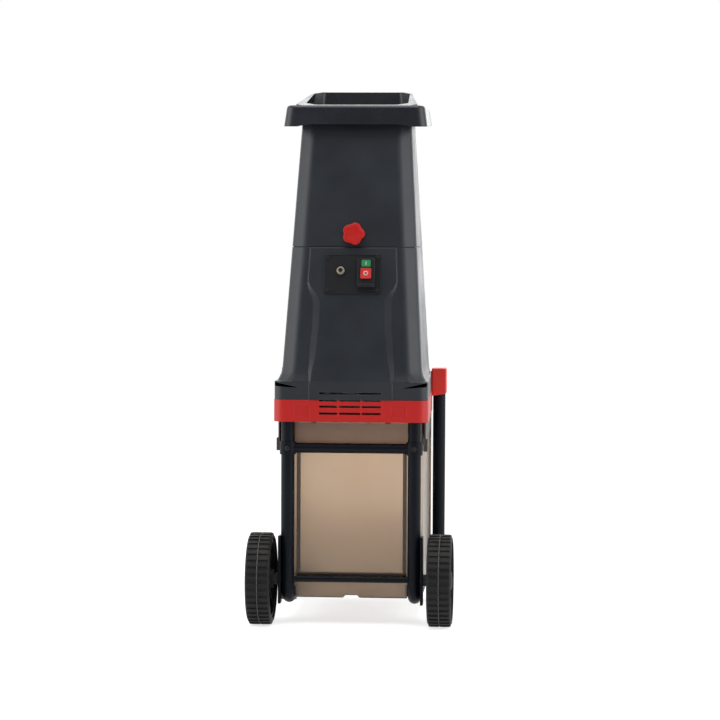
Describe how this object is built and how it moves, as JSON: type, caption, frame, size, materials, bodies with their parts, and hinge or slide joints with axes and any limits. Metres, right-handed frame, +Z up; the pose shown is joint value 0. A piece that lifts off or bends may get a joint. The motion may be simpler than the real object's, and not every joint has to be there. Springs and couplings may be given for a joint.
{
  "type": "garden shredder",
  "caption": "Upright electric roller shredder: leaning hopper on a grey housing with red base tray, wheeled tube frame and slide-out smoky catch box.",
  "frame": {"origin": "centre of the bounding box in plan, on the floor under the wheels and feet", "axes": "+X to the right seen from the control panel, +Y away from the control panel, +Z up"},
  "size_m": [0.386, 0.4545, 1.021],
  "materials": {
    "housing_grey": "fine textured moulded plastic",
    "collar_grey": "textured moulded plastic",
    "red_plastic": "satin moulded plastic",
    "tube_black": "powder coat",
    "steel": "zinc plated",
    "plate_black": "matt",
    "screw_black": "black oxide",
    "start_green": "satin",
    "stop_red": "satin",
    "chrome_ring": "nickel plated",
    "rubber_black": "matt",
    "spacer_black": "matt",
    "wheel_black": "moulded, dull",
    "smoky_box": "see-through smoky brown",
    "guide_grey": "matt",
    "cast_alloy": "as cast",
    "motor_grey": "painted",
    "white_plastic": "matt",
    "magnet_grey": "dull"
  },
  "bodies": {
    "frame": {"lower_housing": "housing_grey", "base_tray": "red_plastic", "leg_socket_left": "red_plastic", "leg_socket_right": "red_plastic", "near_leg_left": "tube_black", "near_leg_right": "tube_black", "far_leg_left": "tube_black", "far_leg_right": "tube_black", "cross_bar": "tube_black", "axle": "tube_black", "axle_plate_left": "tube_black", "axle_plate_right": "tube_black", "hinge_pin": "steel", "lock_plate": "steel", "frame_bolts": "steel", "push_nuts": "steel", "housing_screws": "steel", "control_plate": "plate_black", "switch_housing": "plate_black", "power_inlet": "plate_black", "feed_throat": "plate_black", "plate_screws": "screw_black", "bar_screws": "screw_black", "reset_nut": "chrome_ring", "foot_left": "rubber_black", "foot_right": "rubber_black", "rail_plugs": "rubber_black", "rail_spacers": "spacer_black", "axle_collars": "spacer_black", "box_guide_left": "guide_grey", "box_guide_right": "guide_grey", "gear_case": "cast_alloy", "gear_cover": "cast_alloy", "cutter_housing": "cast_alloy", "motor": "motor_grey", "run_capacitor": "white_plastic", "interlock_switch": "white_plastic"},
    "hopper": {"hopper": "housing_grey", "hopper_collar": "collar_grey", "interlock_magnet": "magnet_grey"},
    "knob": {"star_knob": "red_plastic", "knob_stud": "steel"},
    "start": {"start_button": "start_green"},
    "stop": {"stop_button": "stop_red"},
    "reset": {"reset_button": "plate_black"},
    "left_wheel": {"wheel_left": "wheel_black", "tyre_left": "wheel_black", "hub_cap_left": "wheel_black"},
    "right_wheel": {"wheel_right": "wheel_black", "tyre_right": "wheel_black", "hub_cap_right": "wheel_black"},
    "box": {"catch_box": "smoky_box"},
    "roller": {"cutting_roller": "steel", "roller_gear": "steel"},
    "intermediate": {"intermediate_gear": "steel"},
    "rotor": {"motor_shaft": "steel", "motor_fan": "white_plastic"},
    "adjuster": {"adjuster_screw": "steel", "adjuster_knob": "plate_black"},
    "counter": {"counter_plate": "cast_alloy"}
  },
  "joints": [
    {"name": "hopper_tilt", "type": "hinge", "parent": "frame", "child": "hopper", "pos_m": [0, 0.16032, 0.717], "axis": [-1, 0, 0], "range_deg": [0, 75]},
    {"name": "knob_turn", "type": "hinge", "parent": "hopper", "child": "knob", "pos_m": [0, -0.10535, 0.742], "axis": [0, 1, 0], "continuous": true},
    {"name": "start_press", "type": "slide", "parent": "frame", "child": "start", "axis": [0, 0.977, -0.213], "range_m": [0, 0.003], "stiffness_N_per_m": 300},
    {"name": "stop_press", "type": "slide", "parent": "frame", "child": "stop", "axis": [0, 0.977, -0.213], "range_m": [0, 0.003], "stiffness_N_per_m": 300},
    {"name": "reset_press", "type": "slide", "parent": "frame", "child": "reset", "axis": [0, 0.977, -0.213], "range_m": [0, 0.003], "stiffness_N_per_m": 300},
    {"name": "left_wheel_spin", "type": "hinge", "parent": "frame", "child": "left_wheel", "pos_m": [-0.17, -0.13975, 0.0875], "axis": [1, 0, 0], "continuous": true},
    {"name": "right_wheel_spin", "type": "hinge", "parent": "frame", "child": "right_wheel", "pos_m": [0.17, -0.13975, 0.0875], "axis": [1, 0, 0], "continuous": true},
    {"name": "box_slide", "type": "slide", "parent": "frame", "child": "box", "axis": [0, 1, 0], "range_m": [0, 0.34]},
    {"name": "roller_spin", "type": "hinge", "parent": "frame", "child": "roller", "pos_m": [0, 0.07925, 0.465], "axis": [0, 1, 0], "continuous": true},
    {"name": "intermediate_spin", "type": "hinge", "parent": "frame", "child": "intermediate", "pos_m": [0, 0.00025, 0.537], "axis": [0, 1, 0], "continuous": true},
    {"name": "rotor_spin", "type": "hinge", "parent": "frame", "child": "rotor", "pos_m": [0, -0.06475, 0.483], "axis": [0, 1, 0], "continuous": true},
    {"name": "adjuster_turn", "type": "hinge", "parent": "frame", "child": "adjuster", "pos_m": [-0.11, 0.07925, 0.44725], "axis": [1, 0, 0], "range_deg": [-1080, 360]},
    {"name": "counter_slide", "type": "slide", "parent": "frame", "child": "counter", "axis": [1, 0, 0], "range_m": [-0.0045, 0.0015]}
  ],
  "couplings": [
    {"joint": "intermediate_spin", "follows": "roller_spin", "ratio": -3.5},
    {"joint": "rotor_spin", "follows": "roller_spin", "ratio": 12.25},
    {"joint": "adjuster_turn", "follows": "counter_slide", "rad_per_m": 4188.8}
  ]
}
